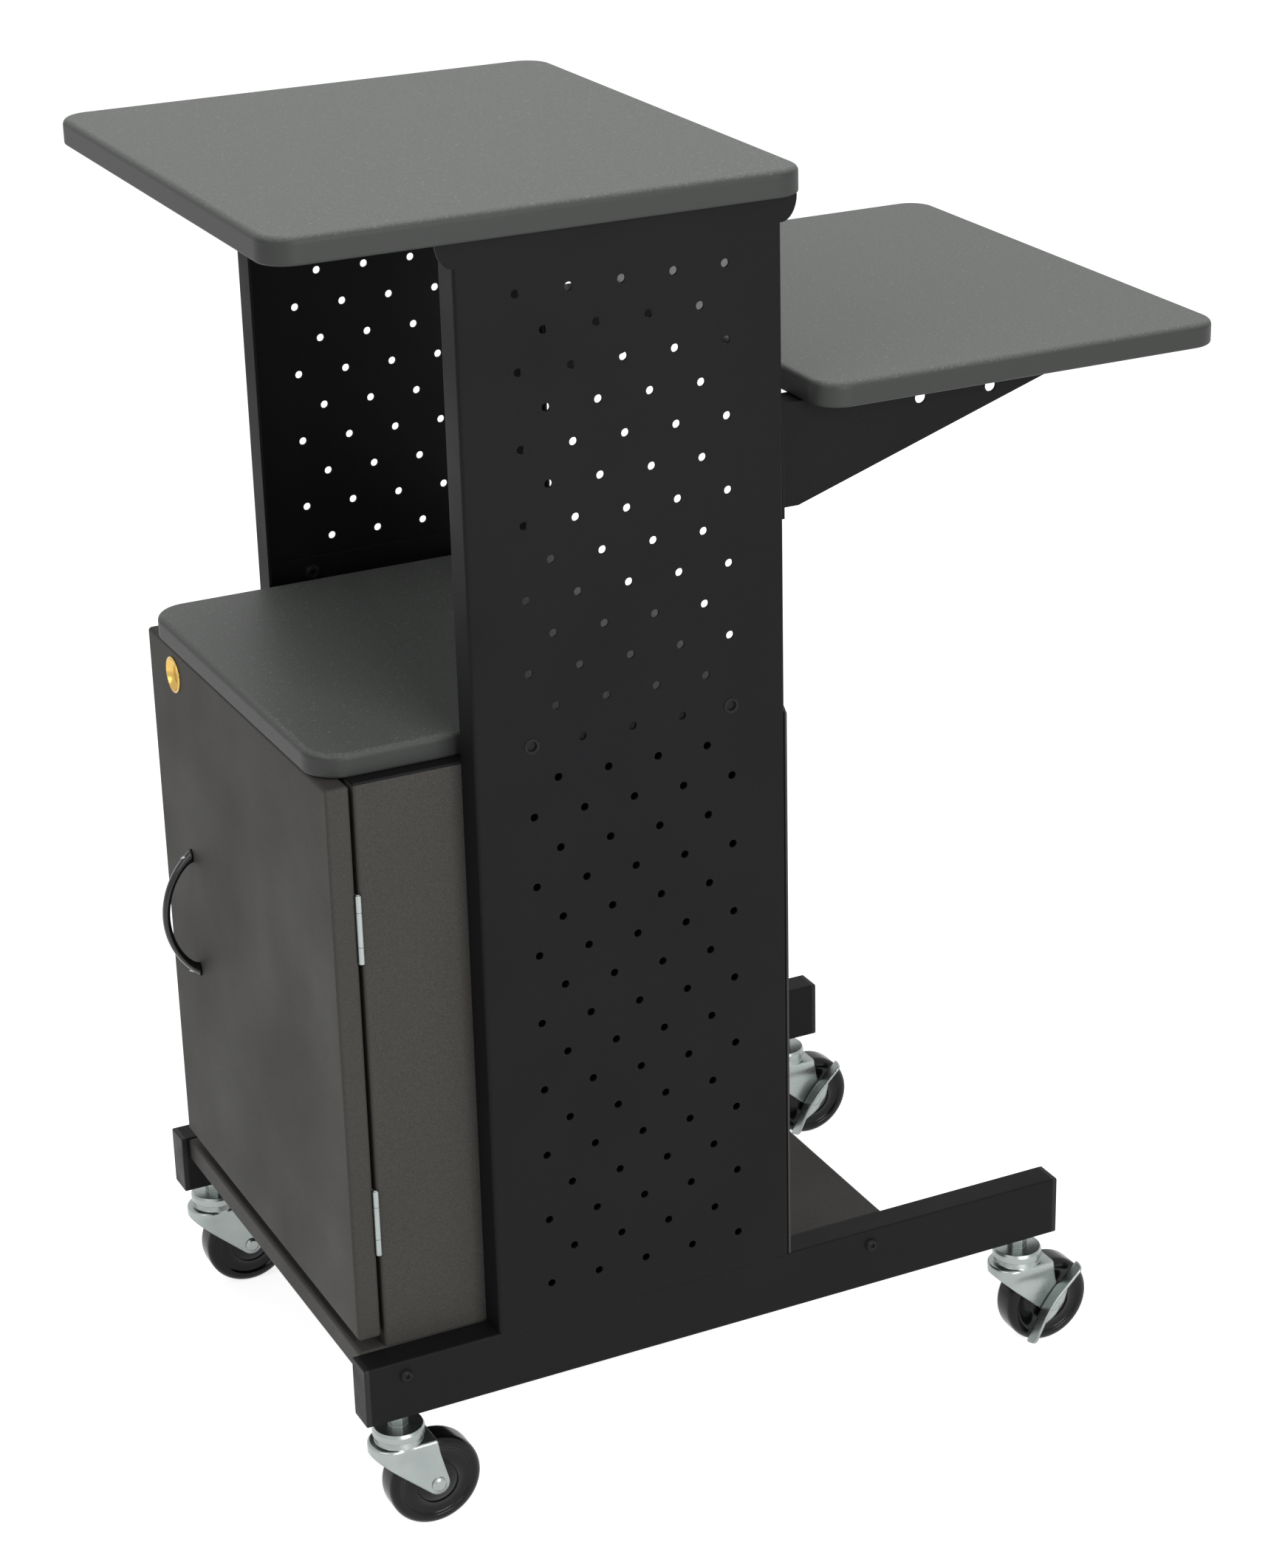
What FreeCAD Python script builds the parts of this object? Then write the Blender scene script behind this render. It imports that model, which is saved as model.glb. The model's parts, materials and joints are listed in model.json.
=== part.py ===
import FreeCAD, Part
import math
import os
from FreeCAD import Vector

# Mobile lectern stand: two perforated side panels on caster-mounted leg tubes, a locking
# cabinet between them, a top shelf and a lower extension shelf behind. Millimetres, +Z up.
# The cabinet door faces -Y, the extension shelf is at +Y and the floor is Z = 0. Places along
# Y are measured from the middle of the side panels; export() moves the whole stand so that
# its origin is the middle of its footprint.

# --- driving dimensions: shelves -----------------------------------------------------------
overall_width = 457.2            # both shelves, along X
top_shelf_thickness = 20.0
top_shelf_underside = 1016.0     # top edge of the side panels
front_reach = 263.0              # top shelf's front edge
top_shelf_rear = 146.0
extension_depth = 350.0
extension_gap = 29.0             # side panel's rear face to the extension shelf
extension_drop = 142.8           # its top below the side panels' top edge
board_thickness = 19.0           # extension shelf
cabinet_top_thickness = 18.5
board_top_round = 5.0
board_bottom_round = 2.0
shelf_corner = 24.0
cabinet_top_corner = 28.0
cabinet_top_inset = 11.6         # its side edge to the leg tube's inner face
cabinet_top_front = 235.0
cabinet_top_rear = 124.0

# --- driving dimensions: frame -------------------------------------------------------------
frame_width = 440.0              # across the outer faces of the leg tubes and side panels
tube_width = 25.4
tube_height = 50.8
tube_wall = 1.6
tube_corner = 2.0
tube_front = 236.0
tube_rear = 376.5
cap_flange = 4.0
cap_plug = 12.0
cap_wall = 2.0

panel_depth = 254.0              # side panel, along Y
panel_sheet = 2.0
panel_bend = 3.0                 # outer radius of its bends
ear_reach = 12.6                 # rounded ears beside the top edge
ear_drop = 19.3
hole_radius = 3.2
hole_pitch_y = 40.74
hole_pitch_z = 28.07             # between staggered rows
hole_top_margin = 42.8
hole_bottom_margin = 30.0
holes_per_row = 5

tray_sheet = 1.6
tray_front = 233.0
tray_rear = 226.4
tray_lip = 19.0
tray_side_flange = 26.0
tray_bolt_places = (-206.0, 202.4)
tray_bolt_drop = 12.9            # below the tube's top

# --- driving dimensions: cabinet -----------------------------------------------------------
cabinet_sheet = 1.2
cabinet_front = 211.5
cabinet_return = 18.0            # width of the return flanges
header_drop = 11.7
header_depth = 26.0
back_sheet = 1.5
back_rise = 3.3                  # above the cabinet's sheet sides
back_chamfer = 5.0
rail_sheet = 2.0
rail_upstand = 27.0
rail_reach = 34.0                # inward from the cabinet's side
rail_row = 12                    # perforation row that its bolts use, from the top
rail_bolt_rise = 13.66           # above the rail's underside

door_depth = 18.5
door_sheet = 1.2
door_gap = 3.0                   # to the cabinet's front frame
door_bottom_gap = 10.0
door_top_gap = 1.5
door_overlap = 0.2               # beyond the cabinet's side
door_return = 12.5
door_bend = 3.0
hinge_height = 55.0
hinge_insets = (113.3, 358.5)    # door's top edge to the middle of each hinge
hinge_offset = 1.2               # pin's middle beyond the cabinet's side
hinge_barrel_radius = 2.6
hinge_pin_radius = 1.25
hinge_leaf = 1.0
hinge_leaf_reach = 12.5

handle_inset = 68.5              # from the door's free edge
handle_rise = 2.6                # above the door's middle
handle_length = 114.0
handle_projection = 28.5
handle_thickness = 5.5
handle_foot = 13.0
handle_width = 9.0
handle_screw_depth = 10.0

lock_inset = 59.6                # from the door's free edge
lock_below_top = 21.6
lock_rim_radius = 15.0
lock_rim_height = 1.6
lock_dish_radius = 15.6          # sphere that the dish is cut from
lock_dish_depth = 6.2
lock_wall = 1.0
lock_head_radius = 8.2
lock_head = 1.4
lock_barrel_radius = 7.0
lock_nut_flats = 19.0
lock_nut = 3.5
lock_plug_radius = 4.5
lock_plug_head = 5.6
lock_key_slot = 6.5
lock_cam_length = 17.0
lock_cam_hub = 6.5
lock_cam_tip = 5.5
lock_cam_sheet = 2.0
lock_cam_square = 5.0
cam_screw_radius = 1.5
cam_screw_length = 8.0

# --- driving dimensions: extension shelf brackets ------------------------------------------
bracket_sheet = 2.0
bracket_depth = 80.2             # height of its front end
bracket_foot = 26.0              # level stretch of its lower edge
bracket_length = 242.0
bracket_tip = 10.2
bracket_top_flange = 25.0
bracket_relief = 8.0
bracket_hole_radius = 4.75
bracket_holes = (130.4, 191.4)   # from the side panel's rear face
bracket_hole_drop = 12.9
bracket_bolt_drops = (20.0, 62.0)
bracket_screw_places = (58.0, 138.0, 218.0)

# --- driving dimensions: casters -----------------------------------------------------------
wheel_diameter = 76.2
wheel_width = 25.4
wheel_shoulder = 6.0
wheel_web = (17.0, 29.5)         # inner and outer radius of the recess in each side
wheel_recess = 2.2
wheel_hub_radius = 9.5
caster_height = 103.6            # floor to the leg tube's underside
caster_trail = 25.0
caster_inset = 26.0              # stem to the bare tube's end
crown_rise = 3.8                 # crown's top above the wheel
crown_front = 25.0
crown_rear = 31.0
crown_corner = 12.0
fork_sheet = 2.2
fork_lip = 8.0
fork_leg_gap = 1.3               # wheel's side to the leg
fork_boss_radius = 9.0
fork_disc_radius = 21.5          # round crown plate
fork_skirt = 6.0                 # lip round the front half of the crown plate
race_radius = 17.6
cup_radius = 20.5
cup_top = 93.0
cup_sheet = 2.4
cup_skirt = 7.5
hex_flats = 14.0
stem_radius = 4.75
stem_rise = 17.0
stem_nut_flats = 16.0
stem_nut = 7.0
kingpin_radius = 5.0
kingpin_head = 7.5
axle_radius = 4.0
axle_head_radius = 6.0
axle_head = 2.5
lever_sheet = 2.0
lever_flange = 12.0
lever_up = (57.0, 42.0)          # angle and reach of the upper pad from the axle
lever_down = (230.0, 38.0)
lever_waist = 9.5
lever_hub = 8.0
lever_tip = 6.0                  # plate's width at its two ends
lever_pad_round = 5.0

# --- driving dimensions: fasteners and fits ------------------------------------------------
bolt_radius = 3.0
bolt_head_radius = 5.25
bolt_head = 3.3
nut_flats = 10.0
nut_height = 5.0
rail_bolt_radius = 3.9
rail_bolt_head = 7.0
rivet_nut_radius = 5.2
rivet_nut_rim = 5.9
rivet_nut_rim_height = 0.6
screw_radius = 1.75
screw_length = 13.0
screw_head_radius = 3.8
screw_head = 2.4
screw_rows_top = (-95.0, 0.0, 95.0)
screw_rows_base = (-165.0, -30.0, 90.0)
screw_rows_cabinet_top = (-165.0, 85.0)
back_screw_rises = (24.0, 155.8, 287.6, 419.4)
part_gap = 0.3                   # between pieces that move past each other
hole_gap = 0.3                   # around a bolt
fit_gap = 0.05                   # around a pin, a shaft or a thread

# --- worked-out places ---------------------------------------------------------------------
panel_half = panel_depth / 2
extension_front = panel_half + extension_gap
rear_reach = extension_front + extension_depth
panel_y = (front_reach - rear_reach) / 2
half_frame = frame_width / 2
tube_inner = half_frame - tube_width
tube_centre = half_frame - tube_width / 2
tube_top = caster_height + tube_height
tray_bolt_z = tube_top - tray_bolt_drop
rail_bolt_z = top_shelf_underside - hole_top_margin - rail_row * hole_pitch_z
rail_bolt_y = (holes_per_row - 1) / 2 * hole_pitch_y
cabinet_half = tube_inner - part_gap
cabinet_roof = rail_bolt_z - rail_bolt_rise
rail_top = cabinet_roof + rail_sheet
rail_inner = cabinet_half - rail_reach
cabinet_screw_x = rail_inner + 8
base_screw_x = cabinet_half - cabinet_return / 2 - 1
door_half = cabinet_half + door_overlap
handle_x = handle_inset - door_half
lock_x = lock_inset - door_half
door_rear_y = -(cabinet_front + door_gap)
door_front_y = door_rear_y - door_depth
door_bottom = tube_top + door_bottom_gap
door_top = rail_top - door_top_gap
hinge_x = cabinet_half + hinge_offset
hinge_y = -(cabinet_front + door_gap / 2)
lock_z = door_top - lock_below_top
cam_front_y = -cabinet_front + cabinet_sheet + 0.5
handle_z = (door_top + door_bottom) / 2 + handle_rise
handle_screw_z = (handle_length - handle_foot) / 2
extension_underside = top_shelf_underside - extension_drop - board_thickness
bracket_web = tube_inner + 0.4   # outer face of the bracket's web
bracket_screw_x = bracket_web - bracket_top_flange / 2 - 1
axle_z = wheel_diameter / 2
crown_top = wheel_diameter + crown_rise
leg_inner = wheel_width / 2 + fork_leg_gap
leg_outer = leg_inner + fork_sheet
cup_underside = cup_top - cup_sheet

OUT = (0, -1, 0)                 # from the cabinet towards the user
IN = (0, 1, 0)
UP = (0, 0, 1)
DOWN = (0, 0, -1)
RIGHT = (1, 0, 0)
LEFT = (-1, 0, 0)


# --- helpers -------------------------------------------------------------------------------
def block(x0, x1, y0, y1, z0, z1):
    """Box between two corners."""
    return Part.makeBox(x1 - x0, y1 - y0, z1 - z0, Vector(x0, y0, z0))


def rod(radius, start, direction, length):
    """Cylinder from a start point along a direction."""
    return Part.makeCylinder(radius, length, Vector(*start), Vector(*direction))


def near(value, target):
    return abs(value - target) < 1e-4


def edges_where(shape, test):
    """Edges whose two end points both pass a test."""
    chosen = []
    for edge in shape.Edges:
        points = [vertex.Point for vertex in edge.Vertexes]
        if len(points) == 2 and all(test(point) for point in points):
            chosen.append(edge)
    return chosen


def edges_along(shape, axis, test=None):
    """Straight edges along one axis (0, 1 or 2), of those that pass a test."""
    chosen = []
    for edge in shape.Edges:
        if len(edge.Vertexes) != 2:
            continue
        start, end = edge.Vertexes[0].Point, edge.Vertexes[1].Point
        level = all(near(start[i], end[i]) for i in range(3) if i != axis)
        if level and (test is None or (test(start) and test(end))):
            chosen.append(edge)
    return chosen


def drilled(shape, drills):
    """Cut a list of drills from a shape in one go."""
    return shape.cut(Part.makeCompound(drills))


def prism(points, direction):
    """Solid on a closed outline of (x, y, z) points."""
    corners = [Vector(*point) for point in points]
    outline = Part.makePolygon(corners + corners[:1])
    return Part.Face(outline).extrude(Vector(*direction))


def placed(shape, start, direction):
    """Shape drawn along +Z from the origin, put at a start point along a direction."""
    turn = FreeCAD.Rotation(Vector(0, 0, 1), Vector(*direction))
    shape.Placement = FreeCAD.Placement(Vector(*start), turn)
    return shape


def turned(profile, start, direction):
    """Solid of revolution from (radius, height) points."""
    outline = Part.makePolygon([Vector(r, 0, h) for r, h in profile + profile[:1]])
    solid = Part.Face(outline).revolve(Vector(0, 0, 0), Vector(0, 0, 1), 360)
    return placed(solid, start, direction)


def hexagon(across_flats, start, direction, length):
    """Hexagonal prism along a direction."""
    corner = across_flats / math.sqrt(3)
    angles = [math.radians(60 * i) for i in range(6)]
    points = [(corner * math.cos(a), corner * math.sin(a), 0) for a in angles]
    return placed(prism(points, (0, 0, length)), start, direction)


def along(start, direction, distance):
    """Point at a distance from a start point along a direction."""
    return tuple(s + d * distance for s, d in zip(start, direction))


def opposite(direction):
    return tuple(-d for d in direction)


def button_bolt(seat, inward, radius, length, head_radius, head_height):
    """Button-head socket bolt: its head stands on the seat, its shank goes inward."""
    outward = opposite(inward)
    head = turned([(0, 0), (head_radius, 0), (head_radius, 0.25 * head_height),
                   (0.86 * head_radius, 0.7 * head_height),
                   (0.6 * head_radius, head_height), (0, head_height)], seat, outward)
    socket = hexagon(0.75 * head_radius, along(seat, outward, 0.35 * head_height), outward,
                     head_height)
    return head.cut(socket).fuse(rod(radius, seat, inward, length)).removeSplitter()


def pan_screw(seat, inward, radius, length, head_radius, head_height):
    """Pan-head cross-recess screw with a pointed shank."""
    outward = opposite(inward)
    head = turned([(0, 0), (head_radius, 0), (head_radius, 0.45 * head_height),
                   (0.7 * head_radius, head_height), (0, head_height)], seat, outward)
    arm = 0.9 * head_radius
    slot = 0.2 * head_radius
    for size in ((arm, slot), (slot, arm)):
        cutter = Part.makeBox(size[0], size[1], head_height, Vector(-size[0] / 2, -size[1] / 2, 0))
        head = head.cut(placed(cutter, along(seat, outward, 0.45 * head_height), outward))
    shank = turned([(0, 0), (radius, 0), (radius, length - 2 * radius), (0, length)], seat,
                   inward)
    return head.fuse(shank).removeSplitter()


def sheet_screw(seat, inward, length=screw_length):
    return pan_screw(seat, inward, screw_radius, length, screw_head_radius, screw_head)


def hex_nut(flats, bore, start, direction, height):
    return hexagon(flats, start, direction, height).cut(rod(bore, start, direction, height))


def mirrored(shape):
    """Mirror image across the stand's middle plane."""
    return shape.mirror(Vector(0, 0, 0), Vector(1, 0, 0))


def both_sides(shapes):
    return list(shapes) + [mirrored(shape) for shape in shapes]


def export(node, shapes):
    """Write one node, moved to the stand's own origin."""
    solids = shapes if isinstance(shapes, list) else [shapes]
    shape = Part.makeCompound(solids) if len(solids) > 1 else solids[0].copy()
    shape.translate(Vector(0, panel_y, 0))
    if len(shape.Solids) != len(solids) or not shape.isValid():
        raise ValueError("%s: %d solids, %d wanted" % (node, len(shape.Solids), len(solids)))
    shape.exportStep("parts/" + node + ".step")
    print("%-24s %2d solid(s) %11.0f mm3" % (node, len(shape.Solids), shape.Volume))


# --- leg tubes -----------------------------------------------------------------------------
def caster_rows():
    """Y of the front and rear caster stems."""
    return (-tube_front + caster_inset, tube_rear - caster_inset)


def leg_tube():
    """Right leg tube, drilled for the tray bolts and the caster stems."""
    outer = block(tube_inner, half_frame, -tube_front, tube_rear, caster_height, tube_top)
    outer = outer.makeFillet(tube_corner, edges_along(outer, 1))
    bore = block(tube_inner + tube_wall, half_frame - tube_wall, -tube_front, tube_rear,
                 caster_height + tube_wall, tube_top - tube_wall)
    drills = [rod(bolt_radius + hole_gap, (tube_inner, y, tray_bolt_z), RIGHT, tube_width)
              for y in tray_bolt_places]
    drills += [rod(stem_radius + hole_gap, (tube_centre, y, caster_height), UP, tube_wall)
               for y in caster_rows()]
    return drilled(outer.cut(bore), drills)


def end_cap(end_y, outward):
    """Plastic cap of a right leg tube: a rounded flange and a hollow plug."""
    face = end_y + outward * cap_flange
    back = end_y - outward * cap_plug
    flange = block(tube_inner, half_frame, min(end_y, face), max(end_y, face),
                   caster_height, tube_top)
    flange = flange.makeFillet(tube_corner, edges_along(flange, 1))
    flange = flange.makeFillet(tube_corner / 2, edges_where(flange, lambda p: near(p.y, face)))
    shells = []
    for inset in (tube_wall + fit_gap, tube_wall + fit_gap + cap_wall):
        shells.append(block(tube_inner + inset, half_frame - inset, min(end_y, back),
                            max(end_y, back), caster_height + inset, tube_top - inset))
    return flange.fuse(shells[0].cut(shells[1])).removeSplitter()


def tray_bolt(y):
    length = tube_width + tray_sheet + nut_height + 1
    return button_bolt((half_frame, y, tray_bolt_z), LEFT, bolt_radius, length,
                       bolt_head_radius, bolt_head)


def tray_nut(y):
    start = (tube_inner - tray_sheet, y, tray_bolt_z)
    return hex_nut(nut_flats, bolt_radius + fit_gap, start, LEFT, nut_height)


# --- side panels ---------------------------------------------------------------------------
def perforation_places():
    """(y, z) of the staggered holes, less the two that hold the rail bolts."""
    places = []
    usable = top_shelf_underside - tube_top - hole_top_margin - hole_bottom_margin
    for row in range(int(usable / hole_pitch_z) + 1):
        z = top_shelf_underside - hole_top_margin - row * hole_pitch_z
        count = holes_per_row - row % 2
        for column in range(count):
            y = (column - (count - 1) / 2) * hole_pitch_y
            if row != rail_row or not near(abs(y), rail_bolt_y):
                places.append((y, z))
    return places


def bracket_bolt_rows():
    """Z of the bolts that hold a shelf bracket."""
    return [extension_underside - drop for drop in bracket_bolt_drops]


def back_screw_rows():
    """Z of the back panel's screws on each side."""
    return [tube_top + rise for rise in back_screw_rises if tube_top + rise < cabinet_roof]


def side_panel():
    """Right side panel: a perforated channel with ears and a screw flange at its top."""
    web = half_frame - panel_sheet
    shoulder = top_shelf_underside - ear_drop
    outer = block(tube_inner, half_frame, -panel_half, panel_half, tube_top, shoulder)
    outer = outer.makeFillet(panel_bend, edges_along(outer, 2, lambda p: near(p.x, half_frame)))
    inner = block(tube_inner, web, -panel_half + panel_sheet, panel_half - panel_sheet,
                  tube_top, shoulder)
    inner = inner.makeFillet(panel_bend - panel_sheet,
                             edges_along(inner, 2, lambda p: near(p.x, web)))
    head = block(web, half_frame, -panel_half, panel_half, shoulder, top_shelf_underside)
    for y in (-panel_half, panel_half):
        centre = Vector(web, y, top_shelf_underside)
        ellipse = Part.Ellipse(centre + Vector(0, 0, ear_drop), centre + Vector(0, ear_reach, 0),
                               centre)
        ear = Part.Face(Part.Wire(ellipse.toShape())).extrude(Vector(panel_sheet, 0, 0))
        below = block(web, half_frame, y - ear_reach, y + ear_reach, shoulder,
                      top_shelf_underside)
        head = head.fuse(ear.common(below))
    flange = block(tube_inner, half_frame, -panel_half + panel_bend, panel_half - panel_bend,
                   top_shelf_underside - panel_sheet, top_shelf_underside)
    panel = outer.cut(inner).fuse([head, flange]).removeSplitter()
    drills = [rod(hole_radius, (web, y, z), RIGHT, panel_sheet) for y, z in perforation_places()]
    drills += [rod(rivet_nut_radius + fit_gap, (web, y, rail_bolt_z), RIGHT, panel_sheet)
               for y in (-rail_bolt_y, rail_bolt_y)]
    rear = panel_half - panel_sheet
    drills += [rod(bolt_radius + hole_gap, (tube_centre, rear, z), IN, panel_sheet)
               for z in bracket_bolt_rows()]
    drills += [rod(screw_radius + fit_gap, (tube_centre, rear, z), IN, panel_sheet)
               for z in back_screw_rows()]
    drills += [rod(screw_radius + hole_gap, (tube_centre, y, top_shelf_underside - panel_sheet),
                   UP, panel_sheet) for y in screw_rows_top]
    return drilled(panel, drills)


# --- boards --------------------------------------------------------------------------------
def board(half_width, front, rear, bottom, thickness, corner):
    """Coated board with rounded corners, a full top edge and an eased bottom edge."""
    top = bottom + thickness
    shape = block(-half_width, half_width, front, rear, bottom, top)
    shape = shape.makeFillet(corner, edges_along(shape, 2))
    shape = shape.makeFillet(board_top_round, edges_where(shape, lambda p: near(p.z, top)))
    return shape.makeFillet(board_bottom_round, edges_where(shape, lambda p: near(p.z, bottom)))


def pilot_holes(x, rows, bottom, depth):
    """Blind screw holes up into a board, on both sides."""
    return both_sides([rod(screw_radius + fit_gap, (x, y, bottom), UP, depth) for y in rows])


def top_shelf():
    shelf = board(overall_width / 2, -front_reach, top_shelf_rear, top_shelf_underside,
                  top_shelf_thickness, shelf_corner)
    return drilled(shelf, pilot_holes(tube_centre, screw_rows_top, top_shelf_underside,
                                      screw_length))


def extension_shelf():
    shelf = board(overall_width / 2, extension_front, rear_reach, extension_underside,
                  board_thickness, shelf_corner)
    return drilled(shelf, pilot_holes(bracket_screw_x, bracket_screw_rows(),
                                      extension_underside, screw_length))


def cabinet_top():
    top = board(tube_inner - cabinet_top_inset, -cabinet_top_front, cabinet_top_rear, rail_top,
                cabinet_top_thickness, cabinet_top_corner)
    return drilled(top, pilot_holes(cabinet_screw_x, screw_rows_cabinet_top, rail_top,
                                    screw_length))


# --- tray and cabinet ----------------------------------------------------------------------
def pan(x0, x1, y0, y1, z0, z1, sheet, bend, axes):
    """Outer and inner block of a folded pan, their edges along some axes rounded."""
    outer = block(x0, x1, y0, y1, z0, z1)
    inner = block(x0 + sheet, x1 - sheet, y0 + sheet, y1 - sheet, z0 + sheet, z1 - sheet)
    for axis in axes:
        outer = outer.makeFillet(bend, edges_along(outer, axis))
        inner = inner.makeFillet(bend - sheet, edges_along(inner, axis))
    return outer, inner


def bottom_tray():
    """Sheet tray between the leg tubes, folded down on all four sides."""
    low = tube_top - tray_side_flange
    outer = block(-tube_inner, tube_inner, -tray_front, tray_rear, low, tube_top)
    outer = outer.makeFillet(2 * tray_sheet, edges_where(outer, lambda p: near(p.z, tube_top)))
    inner = block(-tube_inner + tray_sheet, tube_inner - tray_sheet, -tray_front + tray_sheet,
                  tray_rear - tray_sheet, low, tube_top - tray_sheet)
    tray = outer.cut(inner)
    lip = tube_top - tray_lip
    tray = tray.cut(block(-tube_inner, tube_inner, -tray_front, -tray_front + tray_lip / 2,
                          low, lip))
    tray = tray.cut(block(-tube_inner, tube_inner, tray_rear - tray_lip / 2, tray_rear,
                          low, lip))
    drills = both_sides([rod(bolt_radius + hole_gap, (tube_inner, y, tray_bolt_z), LEFT,
                             tray_sheet) for y in tray_bolt_places])
    drills += both_sides([rod(screw_radius + fit_gap, (base_screw_x, y, tube_top), DOWN,
                              tray_sheet) for y in screw_rows_base])
    return drilled(tray, drills)


def cabinet_side():
    """Right cabinet side: a sheet with return flanges on all four edges."""
    outer, inner = pan(cabinet_half - 2 * cabinet_return, cabinet_half, -cabinet_front,
                       panel_half, tube_top, cabinet_roof, cabinet_sheet, door_bend, (2,))
    mouth = cabinet_half - cabinet_return
    opening = block(mouth - 2 * cabinet_return, mouth, -cabinet_front, panel_half, tube_top,
                    cabinet_roof)
    drills = [rod(screw_radius + hole_gap, (base_screw_x, y, tube_top), UP, cabinet_sheet)
              for y in screw_rows_base]
    return drilled(outer.cut(inner).cut(opening), drills)


def cabinet_header():
    """Angle across the cabinet's top front, which the lock cam turns up behind."""
    half = cabinet_half - cabinet_return
    face = block(-half, half, -cabinet_front, -cabinet_front + cabinet_sheet,
                 cabinet_roof - header_drop, cabinet_roof)
    top = block(-half, half, -cabinet_front, -cabinet_front + header_depth,
                cabinet_roof - cabinet_sheet, cabinet_roof)
    angle = face.fuse(top).removeSplitter()
    bend = edges_along(angle, 0, lambda p: near(p.y, -cabinet_front) and near(p.z, cabinet_roof))
    return angle.makeFillet(0.8 * cabinet_sheet, bend)


def back_panel():
    """Sheet over the cabinet's back, screwed to both side panels."""
    bottom = tube_top + part_gap
    top = cabinet_roof + back_rise
    chamfer = back_chamfer
    points = [(-half_frame, panel_half, bottom), (half_frame, panel_half, bottom),
              (half_frame, panel_half, top - chamfer), (half_frame - chamfer, panel_half, top),
              (-half_frame + chamfer, panel_half, top), (-half_frame, panel_half, top - chamfer)]
    drills = both_sides([rod(screw_radius + hole_gap, (tube_centre, panel_half, z), IN,
                             back_sheet) for z in back_screw_rows()])
    return drilled(prism(points, (0, back_sheet, 0)), drills)


def support_rail():
    """Right rail under the cabinet top, with an upstand bolted inside the side panel."""
    reach = half_frame - panel_sheet
    column = panel_half - panel_sheet - panel_bend
    wide = block(rail_inner, reach, -column, column, cabinet_roof, cabinet_roof + rail_upstand)
    wide = wide.makeFillet(1.5 * rail_sheet, edges_along(
        wide, 1, lambda p: near(p.x, reach) and near(p.z, cabinet_roof)))
    wide = wide.cut(block(rail_inner, reach - rail_sheet, -column, column, rail_top,
                          cabinet_roof + rail_upstand))
    narrow = block(rail_inner, cabinet_half, -cabinet_front, panel_half - panel_sheet,
                   cabinet_roof, rail_top)
    drills = [rod(rail_bolt_radius + hole_gap, (reach - rail_sheet, y, rail_bolt_z), RIGHT,
                  rail_sheet) for y in (-rail_bolt_y, rail_bolt_y)]
    drills += [rod(screw_radius + hole_gap, (cabinet_screw_x, y, cabinet_roof), UP, rail_sheet)
               for y in screw_rows_cabinet_top]
    return drilled(wide.fuse(narrow).removeSplitter(), drills)


def rivet_nut(y):
    """Threaded insert in the side panel, its rim on the outer face."""
    start = (half_frame - panel_sheet, y, rail_bolt_z)
    sleeve = rod(rivet_nut_radius, start, RIGHT, panel_sheet + rivet_nut_rim_height)
    rim = rod(rivet_nut_rim, (half_frame, y, rail_bolt_z), RIGHT, rivet_nut_rim_height)
    bore = rod(rail_bolt_radius + fit_gap, start, RIGHT, panel_sheet + rivet_nut_rim_height)
    return sleeve.fuse(rim).cut(bore).removeSplitter()


def rail_bolt(y):
    seat = (half_frame - panel_sheet - rail_sheet, y, rail_bolt_z)
    return button_bolt(seat, RIGHT, rail_bolt_radius, rail_sheet + panel_sheet / 4,
                       rail_bolt_head, bolt_head)


# --- door, handle and hinges ---------------------------------------------------------------
def door_panel():
    """Folded door pan with returns round its open back."""
    outer, inner = pan(-door_half, door_half, door_front_y, door_rear_y, door_bottom, door_top,
                       door_sheet, door_bend, (0, 2))
    opening = block(-door_half + door_return, door_half - door_return, door_rear_y - door_sheet,
                    door_rear_y, door_bottom + door_return, door_top - door_return)
    drills = [rod(screw_radius + hole_gap, (handle_x, door_front_y, handle_z + offset), IN,
                  door_sheet) for offset in (-handle_screw_z, handle_screw_z)]
    drills.append(rod(dish_radius_at(0, lock_wall) + fit_gap, (lock_x, door_front_y, lock_z), IN,
                      door_sheet))
    return drilled(outer.cut(inner).cut(opening), drills)


def arc_through(half_chord, rise):
    """Radius of an arc over a chord."""
    return (half_chord ** 2 + rise ** 2) / (2 * rise)


def door_handle():
    """Bow handle: thick at its two feet, slim in the middle."""
    inner_rise = handle_projection - handle_thickness
    bows = []
    for half_chord, rise in ((handle_length / 2, handle_projection),
                             (handle_length / 2 - handle_foot, inner_rise)):
        radius = arc_through(half_chord, rise)
        centre = (handle_x - handle_width / 2, door_front_y - rise + radius, handle_z)
        bows.append(rod(radius, centre, RIGHT, handle_width))
    front = block(handle_x - handle_width / 2, handle_x + handle_width / 2,
                  door_front_y - handle_projection, door_front_y, handle_z - handle_length,
                  handle_z + handle_length)
    bow = bows[0].common(front).cut(bows[1])
    rims = [edge for edge in bow.Edges if not near(edge.CenterOfMass.y, door_front_y)]
    bow = bow.makeFillet(0.4 * handle_thickness, rims)
    drills = [rod(screw_radius + fit_gap, (handle_x, door_front_y, handle_z + offset), OUT,
                  handle_screw_depth) for offset in (-handle_screw_z, handle_screw_z)]
    return drilled(bow, drills)


def handle_screw(offset):
    seat = (handle_x, door_front_y + door_sheet, handle_z + offset)
    return pan_screw(seat, OUT, screw_radius, door_sheet + handle_screw_depth,
                     screw_head_radius, screw_head)


def hinge_rows():
    """Bottom end of each hinge."""
    return [door_top - inset - hinge_height / 2 for inset in hinge_insets]


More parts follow.
